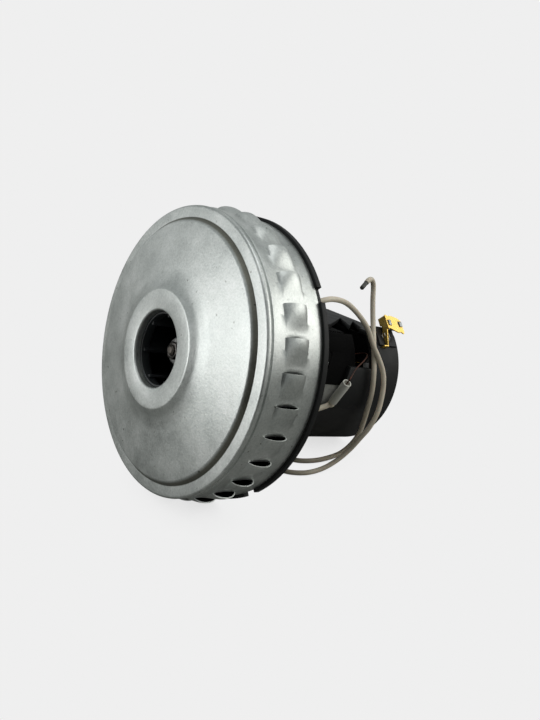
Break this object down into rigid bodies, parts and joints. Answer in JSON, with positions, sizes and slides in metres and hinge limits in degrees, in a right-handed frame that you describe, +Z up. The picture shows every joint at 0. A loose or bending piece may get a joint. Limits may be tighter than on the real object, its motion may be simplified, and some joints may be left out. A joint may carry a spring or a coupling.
{
  "type": "vacuum motor unit",
  "caption": "Vacuum cleaner motor unit: pressed steel fan cover with an inlet and louvres, notched flange, motor housing with brush gear, and free leads.",
  "frame": {"origin": "centre of the bottom of the unit's box, on the bench it lies on, without the free leads", "axes": "+Z up; the inlet looks towards -Y and, as the unit leans on its flange and the end of its housing, slightly up; the shaft lies in the plane x = 0"},
  "size_m": [0.151, 0.159, 0.1491],
  "materials": {
    "sheet_steel": "zinc-plated pressed sheet, satin with fine mottling",
    "black_plastic": "moulded black plastic, satin",
    "lamination": "stacked electrical steel, grey with fine lines",
    "magnet_wire": "enamelled copper wire, brown",
    "bearing_steel": "ground steel",
    "brass": "bright stamped brass",
    "bright_steel": "plated steel",
    "sleeve": "whitish insulating sleeve",
    "lead_insulation": "beige insulation, slightly dull",
    "copper_strands": "tinned and bare copper strands",
    "copper_bars": "turned copper",
    "carbon": "pressed carbon"
  },
  "bodies": {
    "frame": {"fan_cover": "sheet_steel", "flange": "black_plastic", "motor_housing": "black_plastic", "housing_screw_1": "bright_steel", "housing_screw_2": "bright_steel", "housing_screw_3": "bright_steel", "housing_screw_4": "bright_steel", "stator_core": "lamination", "field_coil_1": "magnet_wire", "field_coil_2": "magnet_wire", "coil_cover_1": "black_plastic", "coil_cover_2": "black_plastic", "front_bearing": "bearing_steel", "rear_bearing": "bearing_steel", "brush_holder_1": "black_plastic", "brush_holder_2": "black_plastic", "brush_tube_1": "brass", "brush_tube_2": "brass", "brush_cap_1": "brass", "brush_cap_2": "brass", "cap_lugs_1": "bright_steel", "cap_lugs_2": "bright_steel", "lead_clip_1": "black_plastic", "lead_clip_2": "black_plastic", "splice_sleeve": "sleeve", "magnet_wire": "magnet_wire", "lead_stub": "lead_insulation", "lead_1": "lead_insulation", "lead_2": "lead_insulation", "lead_core_1": "copper_strands", "lead_core_2": "copper_strands"},
    "rotor": {"shaft": "bearing_steel", "front_inner_race": "bearing_steel", "rear_inner_race": "bearing_steel", "impeller_shroud": "black_plastic", "impeller_vanes": "black_plastic", "impeller_back": "black_plastic", "hub_washer": "bright_steel", "hub_nut": "bright_steel", "rotor_spacer": "bearing_steel", "armature_core": "lamination", "armature_winding": "magnet_wire", "commutator": "copper_bars"},
    "brush_1": {"carbon_brush_1": "carbon", "brush_spring_1": "bearing_steel"},
    "brush_2": {"carbon_brush_2": "carbon", "brush_spring_2": "bearing_steel"}
  },
  "joints": [
    {"name": "rotor_spin", "type": "hinge", "parent": "frame", "child": "rotor", "pos_m": [0, 0.01976, 0.05402], "axis": [0, 0.9424, -0.3344], "continuous": true},
    {"name": "brush_1_slide", "type": "slide", "parent": "frame", "child": "brush_1", "axis": [0.7314, 0.2281, 0.6427], "range_m": [0, 0.002], "stiffness_N_per_m": 200, "springref_m": -0.006},
    {"name": "brush_2_slide", "type": "slide", "parent": "frame", "child": "brush_2", "axis": [-0.7314, -0.2281, -0.6427], "range_m": [0, 0.002], "stiffness_N_per_m": 200, "springref_m": -0.006}
  ]
}
